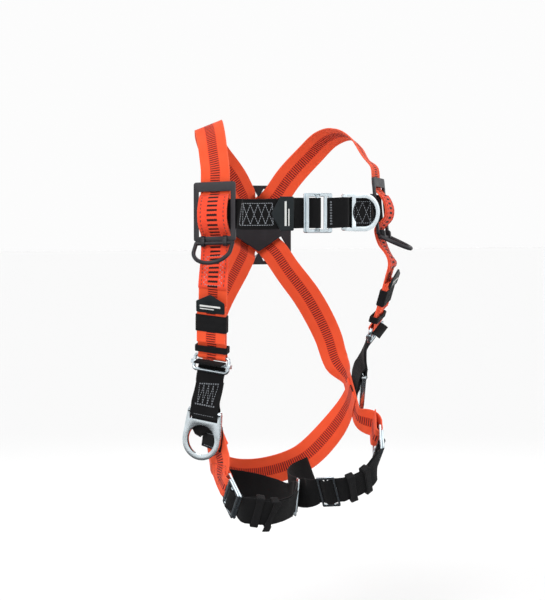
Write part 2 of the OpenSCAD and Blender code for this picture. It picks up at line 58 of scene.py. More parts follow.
# ---------------------------------------------------------------- measures, mm
WEB_W, WEB_T, PLY_GAP = 45.0, 2.0, 0.3
PLY = WEB_T + PLY_GAP
LIFT = PLY_GAP + WEB_T / 2      # from a bar's surface to the middle of a strap round it
GRIP_U, GRIP_N, GRIP_R = 2.0, 1.5, 3.0 + LIFT
BAR_R = 4.0 + LIFT
LOOP_U, LOOP_N, LOOP_R = 24.0, -1.8, 3.35 + LIFT
ADJ_TOP, ADJ_LOW, ADJ_GRIP, ROD_R = -14.0, 8.0, -2.6, 2.5 + LIFT + 0.4
SLOT_GAP = 8.5      # slot under a D-ring's top bar
BACK_ANGLE = 32.0   # lean of the crossed back straps from upright, degrees
STEP = 4.5          # about the distance between two rings of a strap
SURFACE = WEB_T / 2
BAND_LO = -SURFACE - PLY_GAP
TAG_T = 2.5
PATCH_SEAM = 17.5   # distance of the second ply's long seams from the strap's middle
BOX = 16.0          # half width of most sewn boxes
HIP_BOX = 29        # length of the hip straps' zigzag
DOUBLE_ROW = 1.6    # distance between the two rows of a double seam
FINE, THIN, MEDIUM, THICK = 0.34, 0.36, 0.44, 0.55     # radius of a stitch


def vec(*a):
    return np.array(a, float)


def unit(v):
    return v / np.linalg.norm(v)


def facing(az, el):
    a, e = radians(az), radians(el)
    return vec(cos(e) * cos(a), cos(e) * sin(a), sin(e))


def seat(place, az, el, roll=0.0):
    """[place, along, across, out]: where a piece sits and which way it lies."""
    a, e, r = radians(az), radians(el), radians(roll)
    out = facing(az, el)
    down = vec(sin(e) * cos(a), sin(e) * sin(a), -cos(e))
    side = np.cross(out, down)
    return (vec(*place), down * cos(r) + side * sin(r), side * cos(r) - down * sin(r), out)


def at(s, u, n, v=0.0):
    return s[0] + s[1] * u + s[2] * v + s[3] * n


# ---------------------------------------------------------------- routes of the straps
def on(x, y, z, az, el):
    """A place of a route: where the strap's middle is and which way its outward face looks."""
    return (vec(x, y, z), facing(az, el))


def by(s, u, n, v=0.0):
    """A place beside a seat, facing the way the seat does."""
    return (at(s, u, n, v), s[3])


def leaning(s, u, n, a, v=0.0):
    """A place beside a seat, its face turned to the angle a in the seat's lengthwise plane."""
    return (at(s, u, n, v), s[1] * cos(radians(a)) + s[3] * sin(radians(a)))


def over(q, d):
    return (q[0] + q[1] * d, q[1])


def flipped(q):
    return (q[0], -q[1])


def turn(s, u0, n0, r, a0, a1, face, steps=6):
    """Round a bar of the seat s, from the angle a0 to a1; face is 1 with the outward face away from it."""
    out = []
    for k in range(steps + 1):
        a = radians(a0 + (a1 - a0) * k / steps)
        out.append((at(s, u0 + r * cos(a), n0 + r * sin(a)), face * (s[1] * cos(a) + s[3] * sin(a))))
    return out


def led(s, u0, n0, r, a0, a1, face, steps=6, lead=2.0):
    """The same, with a short straight run before and after."""
    d = lead * (1 if a1 > a0 else -1)
    q = turn(s, u0, n0, r, a0, a1, face, steps)
    first = s[1] * sin(radians(a0)) - s[3] * cos(radians(a0))
    last = s[1] * sin(radians(a1)) - s[3] * cos(radians(a1))
    return [(q[0][0] + d * first, q[0][1])] + q + [(q[-1][0] - d * last, q[-1][1])]


def laid(j, p, n):
    """The place p moved onto the plane n above the seat j."""
    return (p + j[3] * (n - (p - j[0]) @ j[3]), j[3])


def smooth(route):
    """A route's places joined by a Catmull-Rom curve through them, in even steps."""
    P = [q[0] for q in route]
    N = [q[1] for q in route]
    n = len(P)
    d = [np.linalg.norm(P[i + 1] - P[i]) for i in range(n - 1)]

    def head(i):
        if i == 0:
            return unit(P[1] - P[0])
        if i == n - 1:
            return unit(P[i] - P[i - 1])
        a, b = d[i - 1], d[i]
        return ((P[i] - P[i - 1]) * b / a + (P[i + 1] - P[i]) * a / b) / (a + b)

    out = []
    for i in range(n - 1):
        m = max(1, int(math.floor(d[i] / STEP + 0.5)))
        for k in range(m):
            t = k / m
            q, h = t * t, t * t * t
            place = (P[i] * (2 * h - 3 * q + 1) + head(i) * d[i] * (h - 2 * q + t)
                     + P[i + 1] * (3 * q - 2 * h) + head(i + 1) * d[i] * (h - q))
            out.append((place, unit(N[i] * (1 - t) + N[i + 1] * t)))
    out.append((P[-1], unit(N[-1])))
    return out


def rings(s):
    """[(middle, along, across, out, length so far)] of a smoothed route."""
    last, out, run = len(s) - 1, [], 0.0
    for i in range(last + 1):
        if i:
            run += np.linalg.norm(s[i][0] - s[i - 1][0])
        along = unit(s[min(i + 1, last)][0] - s[max(i - 1, 0)][0])
        across = unit(np.cross(s[i][1], along))
        out.append((s[i][0], along, across, np.cross(along, across), run))
    return out


def raised(r, d):
    """The same rings, moved outward by d."""
    return [(q[0] + q[3] * d, q[1], q[2], q[3], q[4]) for q in r]


keeper_r = seat([-138, -46, -129], -128, 6, 2)
keeper_l = seat([135, -46, -121], -41, 6, -2)
bundle_r = seat([-142, -47, -300], -132, -14, -6)
bundle_l = seat([141, -43, -260], -38, -18, 12)
adjuster_r = seat([-140, -35, -358], -135, 8, -7)
adjuster_l = seat([137, -23, -315], -40, -12, 19)
hip_r = seat([-150, -36, -427], -136, 0, -8)
hip_l = seat([131, 14, -380], -12, 0, 22)
join_r = seat([-131, -28, -469], -164, 4, 28)
join_l = seat([119, 21, -420], -9, 5, -34)
chest_buckle = seat([0, -103, -131], -91, 0, 90)
chest_ring = seat([46, -104, -130], -80, 0, 90)
back = seat([0, 118, -150], 90, 0)
leg_buckle_r = seat([-121, -70, -553], -178, -10, 224)
leg_buckle_l = seat([130, -52, -495], -16, -5, 140)
slide_r = seat([-6, -46, -562], -18, -6, 86)
slide_l = seat([31, -82, -551], -126, -30, -84)
chest_tag_seat = seat([-58, -112, -132], -98.5, 0, 90)


def catch_in(s):
    """Under a catch's bar."""
    return [by(s, -34, -7.4), by(s, -14, -7.8)]


def catch_turn(s):
    """Round a catch's sliding bar and back."""
    return ([by(s, -6, -5.4)] + turn(s, GRIP_U, GRIP_N, GRIP_R, -70, 124, -1, steps=7)
            + [leaning(s, -12.3, -5, -62)])


def loop_end(s):
    """The looped end on a frame's far bar, from the sewn tail to the front."""
    return ([leaning(s, 58, -6.2, 270), leaning(s, 36, -6.4, 270)]
            + led(s, LOOP_U, LOOP_N, LOOP_R, 270, 90, 1) + [by(s, 32, 2.6), by(s, 38, 2.6)])


def through_ring(s):
    """Across the front of a D-ring's top bar and through its slot to behind the crossbar."""
    return (turn(s, 0, 0, BAR_R, 115, 47, 1, steps=3)
            + [leaning(s, SLOT_GAP + BAR_R - 1.6, -4.6, 62), by(s, 21, -4.8)])


def crossing(side, lift_n):
    """Through the back plate, right shoulder to left hip (side 1) or the other way (side -1)."""
    out = []
    for q, n in [(-80, -10), (-62, -6.5), (-53, -4.5), (-46, 1), (-40, 8.6), (-35, 11.6), (-29, 11.7),
                 (29, 11.7), (35, 11.6), (40, 8.6), (46, 1), (53, -4.5), (62, -6.5), (80, -10)]:
        up = lift_n if abs(q) < 43 else lift_n / 2 if abs(q) < 48 else 0
        out.append(by(back, q * cos(radians(BACK_ANGLE)), n + up, -side * q * sin(radians(BACK_ANGLE))))
    return out


def past_keeper(s, low):
    """Behind the shoulder keeper's top bar, out through its window and behind its low bar."""
    return [by(s, u, n) for u, n in [
        (-60, -3.6), (-45, -3.3), (-33, -3.8), (-27, -2.6), (-19, 3.8), (-8, 10),
        (7, 13), (19, 9.5), (25.5, 2.5), (34, -6.2), (46, -6.1), (60, low)]]


def folds(s, top, low, end):
    """The folded spare end in front of the strap."""
    return ([leaning(s, low + 4, PLY, 270), leaning(s, low, PLY, 270)]
            + led(s, top, 1.5 * PLY, PLY / 2, 270, 90, 1, steps=4)
            + led(s, low, 2.5 * PLY, PLY / 2, -90, 90, -1, steps=4) + [leaning(s, end, 3 * PLY, 270)])


def adjuster_end(b, a, head, top, low, end):
    """From the bundle b round the adjuster a's top bar and back up into the folds."""
    return ([by(b, head - 5, 0), by(b, head, 0), by(b, 30, 0), by(b, 34, -0.2)]
            + led(a, ADJ_TOP, 0, ROD_R, 245, 450, -1, steps=7) + folds(b, top, low, end))


def adjuster_grip(a):
    """The hip strap's end: over the sliding bar and behind the low bar."""
    return ([leaning(a, -1, 15, -28), leaning(a, -5, 7, -18)]
            + led(a, ADJ_GRIP, 0, GRIP_R, 165, 270, -1, lead=1)
            + [by(a, 5, -4.1), by(a, ADJ_LOW, -3.9), by(a, 20, -3.2)])


shoulder_right = (loop_end(leg_buckle_l) + [by(join_l, q, 0) for q in (34, 28, -28, -34)]
    + [on(109, 56, -368, 38, -2), on(102, 74, -328, 52, -2), on(76, 93, -268, 70, -4)]
    + crossing(1, 0)[::-1]
    + [on(-86, 92, -34, 112, 34), on(-108, 60, -8, 140, 58), on(-121, 24, 1, 180, 68),
       on(-129, -8, -18, -142, 45), on(-132, -26, -46, -134, 24)]
    + past_keeper(keeper_r, -5) + [on(-143, -58, -212, -130, -4)]
    + adjuster_end(bundle_r, adjuster_r, -55, -34, 21, -36))
shoulder_left = (loop_end(leg_buckle_r) + [by(join_r, q, 0) for q in (34, 28, -28, -34)]
    + [on(-122, 38, -395, 155, -2), on(-104, 68, -342, 134, -2), on(-76, 93, -272, 110, -4)]
    + crossing(-1, 1.15 * PLY)[::-1]
    + [on(78, 92, -38, 68, 34), on(92, 60, -14, 44, 58), on(103, 24, -8, 4, 68),
       on(112, -8, -23, -30, 45), on(119, -28, -47, -38, 24)]
    + past_keeper(keeper_l, -2.4) + adjuster_end(bundle_l, adjuster_l, -47, -26, 18, -30))


def hip_route(a, mid, h, j):
    """The hip strap's front layer, from the adjuster through the hip D-ring to the join."""
    return (adjuster_grip(a) + mid + [leaning(h, -15, 4.4, 100)] + through_ring(h)
            + [laid(j, at(h, q, 0), 2 * PLY) for q in (32, 37, 56)])


def hip_back(mid, h, j):
    """Its rear layer, which closes the loop behind the top bar."""
    return ([over(q, -PLY) for q in mid]
            + [leaning(h, -16, 1.6, 105), by(h, -5, -4.6), by(h, 0, -5.6), by(h, 9, -7),
               by(h, 21, -7.1)]
            + [laid(j, at(h, q, 0), PLY) for q in (32, 37, 56)])


hip_mid_r = [on(-142, -34, -382, -136, 6), on(-146, -37, -396, -136, 8)]
hip_mid_l = [on(132, -8, -337, -28, -10), on(133, -1, -350, -24, -4)]
chest_mid_r = [on(-108, -81, -133, -116, 0), on(-82, -96, -133, -105, 0), on(-54, -107, -132, -97, 0)]
chest_right = ([by(keeper_r, 4, -3.5, v) for v in (-20, 0, 20)] + [by(keeper_r, 4, -4.4, 34)]
    + chest_mid_r + catch_in(chest_buckle) + catch_turn(chest_buckle)
    + [by(chest_buckle, -20, -4.9)] + [flipped(over(chest_mid_r[2], 1.2 * PLY))])
chest_left = ([by(chest_ring, 54, -4.6)] + through_ring(chest_ring)[::-1]
    + turn(chest_buckle, LOOP_U, LOOP_N, LOOP_R, 90, 270, 1)
    + [leaning(chest_ring, 2, -5.6, 270), leaning(chest_ring, 21, -6.9, 270),
       flipped(on(100, -86, -129, -66, 0))]
    + [leaning(keeper_l, 4, -4.4, 270, -34)]
    + [leaning(keeper_l, 4, -3.5, 270, v) for v in (-20, 0, 20)])
leg_mid_r = [on(-96, -93, -568, -112, -24), on(-72, -98, -572, -92, -34),
             on(-48, -93, -570, -73, -32), on(-24, -75, -565, -48, -18)]
leg_rear_r = [on(-3, -12, -568, 6, 0), on(-14, 28, -566, 34, -4), on(-38, 58, -560, 66, -6),
              on(-72, 70, -554, 104, -8)]
leg_mid_l = [on(107, -86, -516, -60, -16), on(86, -95, -533, -78, -28), on(62, -96, -543, -99, -34)]
leg_rear_l = [on(9, -50, -556, -172, 0), on(4, -14, -558, 176, 0), on(14, 28, -556, 146, -4),
              on(38, 58, -550, 114, -6), on(72, 70, -542, 76, -8)]


def through_slide(s):
    """Behind a three-bar slide, over its middle bar and behind again."""
    half = [(20, -3.2), (11.5, -3.1), (6.2, -0.5), (2, 2.8)]
    return [by(s, -u, n) for u, n in half] + [by(s, u, n) for u, n in half[::-1]]


def leg_route(b, mid, slide, rear):
    """A leg strap: sewn end at the back, slide, thigh, catch and spare end."""
    return (rear[::-1] + through_slide(slide)[::-1] + mid[::-1]
            + [leaning(b, -22, -8.6, 96), by(b, -14, -7.8)] + catch_turn(b)
            + [leaning(b, -20, -4.9, 270)] + [flipped(over(q, 1.5 * PLY)) for q in mid])


sub_pelvic = [by(join_r, -5, -1.1 * PLY, 18), by(join_r, 0, -1.1 * PLY, -4),
    by(join_r, 1, -1.1 * PLY, -10), on(-122, 22, -500, 160, -8), on(-98, 56, -520, 134, -10),
    on(-62, 80, -538, 106, -6), on(0, 90, -542, 90, -4), on(62, 80, -522, 74, -6),
    on(98, 64, -484, 44, -8), by(join_l, 1, -1.1 * PLY, 10), by(join_l, 0, -1.1 * PLY, 4),
    by(join_l, -5, -1.1 * PLY, -18)]


# ---------------------------------------------------------------- materials
class Mat:
    """A node material built around one Principled shader."""

    def __init__(self, name):
        self.m = bpy.data.materials.new(name)
        self.m.use_nodes = True
        self.t = self.m.node_tree
        self.t.nodes.clear()
        self.out = self.t.nodes.new("ShaderNodeOutputMaterial")
        self.bsdf = self.t.nodes.new("ShaderNodeBsdfPrincipled")
        self.t.links.new(self.bsdf.outputs[0], self.out.inputs[0])

    def put(self, socket, value):
        if isinstance(value, bpy.types.NodeSocket):
            self.t.links.new(value, socket)
        elif isinstance(value, tuple) and len(value) == 3 and socket.type == "RGBA":
            socket.default_value = (*value, 1.0)
        else:
            socket.default_value = value

    def set(self, **values):
        for key, value in values.items():
            self.put(self.bsdf.inputs[key.replace("_", " ")], value)

    def math(self, op, a, b=None, c=None):
        n = self.t.nodes.new("ShaderNodeMath")
        n.operation = op
        for i, x in enumerate((a, b, c)):
            if x is not None:
                self.put(n.inputs[i], x)
        return n.outputs[0]

    def uv(self):
        """Length along and place across a strap, in metres."""
        n = self.t.nodes.new("ShaderNodeUVMap")
        n.uv_map = "lay"
        s = self.t.nodes.new("ShaderNodeSeparateXYZ")
        self.t.links.new(n.outputs[0], s.inputs[0])
        return s.outputs[0], s.outputs[1]

    def place(self, scale=(1, 1, 1)):
        g = self.t.nodes.new("ShaderNodeTexCoord")
        k = self.t.nodes.new("ShaderNodeMapping")
        k.inputs["Scale"].default_value = scale
        self.t.links.new(g.outputs["Object"], k.inputs["Vector"])
        return k.outputs[0]

    def noise(self, vector, scale, detail=3.0, rough=0.5):
        n = self.t.nodes.new("ShaderNodeTexNoise")
        n.inputs["Scale"].default_value = scale
        n.inputs["Detail"].default_value = detail
        n.inputs["Roughness"].default_value = rough
        self.t.links.new(vector, n.inputs["Vector"])
        return n.outputs[0]

    def span(self, x, a, b, lo=0.0, hi=1.0):
        n = self.t.nodes.new("ShaderNodeMapRange")
        for i, value in enumerate((x, a, b, lo, hi)):
            self.put(n.inputs[i], value)
        return n.outputs[0]

    def mix(self, fac, a, b):
        n = self.t.nodes.new("ShaderNodeMix")
        n.data_type = "RGBA"
        self.put(n.inputs[0], fac)
        self.put(n.inputs[6], a)
        self.put(n.inputs[7], b)
        return n.outputs[2]

    def bump(self, height, distance, strength=1.0):
        n = self.t.nodes.new("ShaderNodeBump")
        n.inputs["Strength"].default_value = strength
        n.inputs["Distance"].default_value = distance
        self.t.links.new(height, n.inputs["Height"])
        self.t.links.new(n.outputs[0], self.bsdf.inputs["Normal"])


def woven(name, ground, groove_shade_and_mottle, rib=0.00125, stitch=0.0024, stripe=None, bars=None, sheen=0.06,
          specular=0.25, rough=0.72, fray=(0.9, 0.3, 0.2), depth=0.00028):
    """Webbing: ribs along the strap, each of short floats that step by half from rib to rib.
    stripe is (half width, colour); bars is (pitch, share of it, half width)."""
    m = Mat(name)
    u, v = m.uv()
    ribs = m.math("ABSOLUTE", m.math("SINE", m.math("MULTIPLY", v, pi / rib)))
    cell = m.math("FLOOR", m.math("DIVIDE", v, rib))
    phase = m.math("ADD", m.math("MULTIPLY", u, 2 * pi / stitch), m.math("MULTIPLY", cell, pi))
    floats = m.math("MULTIPLY_ADD", m.math("SINE", phase), 0.5, 0.5)
    height = m.math("MULTIPLY", ribs, m.math("MULTIPLY_ADD", floats, 0.45, 0.55))
    where = m.place()
    cloudy = m.noise(where, 45, 4)
    fine = m.noise(where, 900, 2)
    colour = ground
    away = m.math("ABSOLUTE", v)
    jitter = m.math("MULTIPLY_ADD", fine, 0.0006, -0.0003)
    if stripe:
        inside = m.math("LESS_THAN", m.math("ADD", away, jitter), stripe[0])
        colour = m.mix(inside, colour, stripe[1])
    # painted shade: the grooves between ribs and floats are mixed towards the darker colour, the deeper
    # the groove the darker
    colour = m.mix(m.span(height, 0.15, 0.85, 0.55, 0.0), colour, groove_shade_and_mottle)
    # random cloudy mottle towards the same darker colour: tone that varies at random, not shade
    colour = m.mix(m.span(cloudy, 0.35, 0.75, 0.0, 0.16), colour, groove_shade_and_mottle)
    if bars:
        pitch, share, half = bars
        ragged = m.math("SINE", m.math("MULTIPLY", cell, 2.4))
        along = m.math("ADD", u, m.math("MULTIPLY_ADD", ragged, 0.00012, jitter))
        step = m.math("FRACT", m.math("DIVIDE", along, pitch))
        mark = m.math("MULTIPLY", m.math("LESS_THAN", step, share), m.math("LESS_THAN", away, half))
        colour = m.mix(m.math("MULTIPLY", mark, 0.98), colour, (0.006, 0.004, 0.005))
    edge = m.math("MULTIPLY", m.span(away, 0.0205, 0.0225, 0.0, 1.0), m.span(fine, 0.4, 0.75, 0.0, 0.5))
    colour = m.mix(edge, colour, fray)
    m.set(Base_Color=colour, Roughness=m.span(cloudy, 0.2, 0.8, rough - 0.08, rough + 0.12))
    m.bsdf.inputs["Specular IOR Level"].default_value = specular
    m.bsdf.inputs["Sheen Weight"].default_value = sheen
    m.bsdf.inputs["Sheen Roughness"].default_value = 0.5
    m.bump(m.math("ADD", height, m.math("MULTIPLY", fine, 0.35)), depth, 0.9)
    return m.m


def moulded(name, colour, rough, specular=0.4):
    """Moulded plastic with a fine grain and paler, worn patches."""
    m = Mat(name)
    where = m.place()
    fine = m.noise(where, 1400, 2)
    broad = m.noise(where, 60, 3)
    worn = m.span(broad, 0.45, 0.75, 0.0, 0.35)
    lighter = tuple(min(1.0, c * 1.7 + 0.01) for c in colour)
    m.set(Base_Color=m.mix(worn, colour, lighter),
          Roughness=m.span(broad, 0.3, 0.7, rough - 0.06, rough + 0.1))
    m.bsdf.inputs["Specular IOR Level"].default_value = specular
    m.bump(m.math("ADD", fine, m.math("MULTIPLY", broad, 0.4)), 0.00012, 0.6)
    return m.m


def plated(name, colour, rough):
    """Zinc-plated steel: faint cloudiness, drawn lines and small scuffs."""
    m = Mat(name)
    where = m.place()
    drawn = m.noise(m.place((1, 1, 30)), 120, 4, 0.6)
    broad = m.noise(where, 70, 4)
    fine = m.noise(where, 1500, 2)
    scuff = m.span(m.noise(where, 420, 5, 0.7), 0.62, 0.72, 0.0, 1.0)
    dull = tuple(c * 0.72 for c in colour)
    tint = m.mix(m.span(broad, 0.35, 0.7, 0.0, 0.3), colour, dull)
    tint = m.mix(m.math("MULTIPLY", scuff, 0.15), tint, tuple(c * 0.5 for c in colour))
    m.set(Base_Color=tint, Metallic=1.0,
          Roughness=m.math("ADD", m.span(broad, 0.3, 0.7, rough - 0.03, rough + 0.04),
                           m.math("MULTIPLY", scuff, 0.08)))
    m.bump(m.math("ADD", m.math("MULTIPLY", drawn, 0.6), m.math("MULTIPLY", fine, 0.4)), 0.00005, 0.4)
    return m.m


def yarn(name, colour):
    """Sewing thread: a two-ply twist along each stitch."""
    m = Mat(name)
    u, v = m.uv()
    twist = m.math("SINE", m.math("MULTIPLY", m.math("ADD", u, v), 2 * pi / 0.0009))
    # painted shade: where the twist is low, in the groove between the two plies, the thread is darker
    dark = tuple(c * 0.45 for c in colour)
    m.set(Base_Color=m.mix(m.span(twist, -1.0, 1.0, 0.5, 0.0), colour, dark), Roughness=0.6)
    m.bsdf.inputs["Sheen Weight"].default_value = 0.2
    m.bump(twist, 0.00008, 0.7)
    return m.m


# each weave's second colour is painted shade in the grooves of the weave, and also the tone of its random
# mottle
M_ORANGE = woven("orange_weave", (0.96, 0.115, 0.034), (0.72, 0.045, 0.012),
                 stripe=(0.0080, (0.80, 0.065, 0.022)), bars=(0.0036, 0.38, 0.0070))
M_PATCH = woven("patch_weave", (0.94, 0.082, 0.030), (0.70, 0.036, 0.014), bars=(0.0067, 0.46, 0.0078))
M_BLACK = woven("black_weave", (0.0075, 0.0075, 0.0082), (0.0022, 0.0022, 0.0026), sheen=0.06,
                specular=0.12, fray=(0.03, 0.03, 0.032), rough=0.8)
M_ELASTIC = woven("elastic_weave", (0.0085, 0.0085, 0.0095), (0.0025, 0.0025, 0.003), rib=0.0017,
                  stitch=0.0012, sheen=0.08, specular=0.15, fray=(0.02, 0.02, 0.02), rough=0.75,
                  depth=0.0004)
M_TAG = moulded("tag_moulding", (0.0085, 0.013, 0.015), 0.5, specular=0.25)
M_KEEPER = moulded("keeper_moulding", (0.021, 0.020, 0.024), 0.42, specular=0.3)
M_PALE = moulded("pale_print", (0.62, 0.64, 0.62), 0.5)
M_RING = plated("forged_ring_steel", (0.74, 0.82, 0.86), 0.22)
M_BUCKLE = plated("pressed_buckle_steel", (0.70, 0.79, 0.84), 0.28)
M_THREAD = yarn("grey_thread", (0.36, 0.39, 0.43))
M_DARK_THREAD = yarn("dark_thread", (0.02, 0.018, 0.02))
M_RED_THREAD = yarn("red_thread", (0.42, 0.03, 0.012))


# ---------------------------------------------------------------- mesh builders
def new_object(name, points, faces, uvs, material, flat_faces=()):
    """A mesh object from points in mm; uvs maps a face and corner to metres."""
    mesh = bpy.data.meshes.new(name)
    mesh.from_pydata([tuple(p * MM) for p in points], [], faces)
    layer = mesh.uv_layers.new(name="lay")
    for poly in mesh.polygons:
        poly.use_smooth = poly.index not in flat_faces
        for c, loop in enumerate(poly.loop_indices):
            layer.data[loop].uv = uvs[poly.index][c]
    mesh.materials.append(material)
    obj = bpy.data.objects.new(name, mesh)
    bpy.context.scene.collection.objects.link(obj)
    return obj


def web_section():
    """Outline of a strap's cross-section as [(across, out)], with rounded selvedges."""
    h, e = WEB_W / 2, SURFACE
    top = [(h - 0.7, e * 0.98), (h - 1.7, e), (h - 2.7, e * 0.84), (h - 6, e * 0.93), (h * 0.45, e),
           (0, e)]
    top = top + [(-v, n) for v, n in top[-2::-1]]
    side = [(-h + 0.15, e * 0.6), (-h, 0), (-h + 0.15, -e * 0.6)]
    low = [(v, -n) for v, n in top[::-1]]
    return top + side + low + [(-v, n) for v, n in side[::-1]]


def cap(first, count, order):
    """The corners of a round end face, from its first vertex."""
    return tuple(first + j for j in range(count))[::order]


def ribbon(name, rows, material):
    """A strap along rows, as one closed mesh; its UV is (length along, place across) in metres."""
    shape = web_section()
    k = len(shape)
    points = [q[0] + q[2] * v + q[3] * n for q in rows for v, n in shape]
    faces, uvs = [], []
    for i in range(len(rows) - 1):
        for j in range(k):
            a, b = i * k + j, i * k + (j + 1) % k
            faces.append((a, a + k, b + k, b))
            va, vb = shape[j][0] * MM, shape[(j + 1) % k][0] * MM
            ua, ub = rows[i][4] * MM, rows[i + 1][4] * MM
            uvs.append([(ua, va), (ub, va), (ub, vb), (ua, vb)])
    for i, order in ((0, 1), (len(rows) - 1, -1)):
        faces.append(cap(i * k, k, order))
        uvs.append([(rows[i][4] * MM, shape[j][0] * MM) for j in range(k)][::order])
    return new_object(name, points, faces, uvs, material, {len(faces) - 2, len(faces) - 1})


def spot(rows, s, v, n):
    """The place on a strap s along it, v across and n out of its middle, with its out direction."""
    s = min(max(s, rows[0][4]), rows[-1][4])
    i = 0
    while i < len(rows) - 2 and rows[i + 1][4] < s:
        i += 1
    a, b = rows[i], rows[i + 1]
    f = (s - a[4]) / max(1e-9, b[4] - a[4])
    across = unit(a[2] * (1 - f) + b[2] * f)
    out = unit(a[3] * (1 - f) + b[3] * f)
    return a[0] * (1 - f) + b[0] * f + across * v + out * n, out


def along_of(rows, place, lo=0.0, hi=1e9):
    """How far along the strap the place is nearest."""
    near = [(np.linalg.norm(q[0] - place), q[4]) for q in rows if lo <= q[4] <= hi]
    return min(near)[1]


# a stitch's shape: (share of its length, height above the strap, share of its radius)
STITCH = ((0.0, -0.25, 0.45), (0.2, 0.02, 1.0), (0.5, 0.12, 1.0), (0.8, 0.02, 1.0), (1.0, -0.25, 0.45))
STITCH_SIDES = 6
STITCH_FLAT = 0.8       # its height as a share of its width
SIDE_UV = 0.0004        # width of one of its sides in the UV map, metres


def stitches(name, rows, lines, material, length=2.9, gap=0.9, thick=THIN):
    """Separate stitches along lines of (along, across) places on the outward face of a strap."""
    points, faces, uvs = [], [], []
    sides = range(STITCH_SIDES)
    for line in lines:
        for (s0, v0), (s1, v1) in zip(line, line[1:]):
            run = math.hypot(s1 - s0, v1 - v0)
            count = max(1, int(round(run / (length + gap))))
            rest = 0.5 * gap / (length + gap)
            for k in range(count):
                t0, t1 = (k + rest) / count, (k + 1 - rest) / count
                base = len(points)
                for share, high, wide in STITCH:
                    t = t0 + (t1 - t0) * share
                    s, v = s0 + (s1 - s0) * t, v0 + (v1 - v0) * t
                    p, out = spot(rows, s, v, SURFACE + high)
                    q, _ = spot(rows, s + (s1 - s0) * 0.01, v + (v1 - v0) * 0.01, SURFACE + high)
                    d = q - p
                    d = unit(d) if np.linalg.norm(d) > 1e-9 else unit(np.cross(out, vec(0, 0, 1)))
                    side = unit(np.cross(out, d))
                    r = thick * wide
                    for j in sides:
                        a = j * 2 * pi / STITCH_SIDES
                        points.append(p + side * r * cos(a) + out * r * STITCH_FLAT * sin(a))
                for i in range(len(STITCH) - 1):
                    ua, ub = STITCH[i][0] * length * MM, STITCH[i + 1][0] * length * MM
                    for j in sides:
                        a = base + i * STITCH_SIDES + j
                        b = base + i * STITCH_SIDES + (j + 1) % STITCH_SIDES
                        faces.append((a, a + STITCH_SIDES, b + STITCH_SIDES, b))
                        va, vb = j * SIDE_UV, (j + 1) * SIDE_UV
                        uvs.append([(ua, va), (ub, va), (ub, vb), (ua, vb)])
                faces.append(cap(base, STITCH_SIDES, 1))
                faces.append(cap(base + (len(STITCH) - 1) * STITCH_SIDES, STITCH_SIDES, -1))
                uvs += [[(0.0, 0.0)] * STITCH_SIDES] * 2
    obj = new_object(name, points, faces, uvs, material)
    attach(obj, ROOT)


def outline(s0, s1, half):
    """A box, as long as from s0 to s1."""
    return [(s0, -half), (s1, -half), (s1, half), (s0, half), (s0, -half)]


def zigzag_across(s0, s1, half, waves):
    """A zigzag that runs along the strap, from one edge line to the other."""
    return [(s0 + (s1 - s0) * k / (2 * waves), half if k % 2 else -half) for k in range(2 * waves + 1)]


def zigzag_along(s0, s1, half, waves):
    """A zigzag that runs across the strap, from one end line to the other."""
    return [(s1 if k % 2 else s0, half * (k / waves - 1)) for k in range(2 * waves + 1)]


def mirrored(line):
    """The same line on the other half of the strap."""
    return [(s, -v) for s, v in line]


def across_line(s, half):
    """A line across the strap."""
    return [(s, -half), (s, half)]


def strap(name, route, material, slot, *nodes):
    """A strap on a route, standing for its nodes; gives its rings for the sewing."""
    rows = rings(smooth(route))
    obj = ribbon(name, rows, material)
    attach(obj, ROOT)
    if nodes:
        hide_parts(*nodes)
    return rows


# ---------------------------------------------------------------- straps
rows_sr = strap("shoulder_strap_right_webbing", shoulder_right, M_ORANGE, "orange_webbing",
                "shoulder_strap_right")
rows_sl = strap("shoulder_strap_left_webbing", shoulder_left, M_ORANGE, "orange_webbing",
                "shoulder_strap_left")
rows_hr = strap("hip_strap_right_front", hip_route(adjuster_r, hip_mid_r, hip_r, join_r), M_BLACK,
                "black_webbing", "hip_strap_right")
rows_hl = strap("hip_strap_left_front", hip_route(adjuster_l, hip_mid_l, hip_l, join_l), M_BLACK,
                "black_webbing", "hip_strap_left")
strap("hip_strap_right_rear", hip_back(hip_mid_r, hip_r, join_r), M_BLACK, "black_webbing")
strap("hip_strap_left_rear", hip_back(hip_mid_l, hip_l, join_l), M_BLACK, "black_webbing")
rows_cr = strap("chest_strap_right_webbing", chest_right, M_BLACK, "black_webbing", "chest_strap_right")
rows_cl = strap("chest_strap_left_webbing", chest_left, M_BLACK, "black_webbing", "chest_strap_left")
strap("sub_pelvic_webbing", sub_pelvic, M_ORANGE, "orange_webbing", "sub_pelvic_strap")
rows_lr = strap("leg_strap_right_webbing", leg_route(leg_buckle_r, leg_mid_r, slide_r, leg_rear_r),
                M_BLACK, "black_webbing", "leg_strap_right")
rows_ll = strap("leg_strap_left_webbing", leg_route(leg_buckle_l, leg_mid_l, slide_l, leg_rear_l),
                M_BLACK, "black_webbing", "leg_strap_left")


PATCH_TOP = keeper_r[0][2] + 26     # height of the second ply's upper end
PATCH_FRONT, PATCH_SIDE = -30, 110  # it lies in front of the one and outside of the other


def patch(name, rows, side, bottom, node):
    """The second ply, sewn to the shoulder strap below the keeper's top bar."""
    lying = raised([q for q in rows if q[0][1] < PATCH_FRONT and q[0][0] * side > PATCH_SIDE
                    and PATCH_TOP > q[0][2] > bottom], PLY)
    obj = ribbon(name, lying, M_PATCH)
    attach(obj, ROOT)
    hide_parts(node)
    return lying


patch_r = patch("strap_reinforcement_right_webbing", rows_sr, -1, -244, "strap_reinforcement_right")
patch_l = patch("strap_reinforcement_left_webbing", rows_sl, 1, -218, "strap_reinforcement_left")

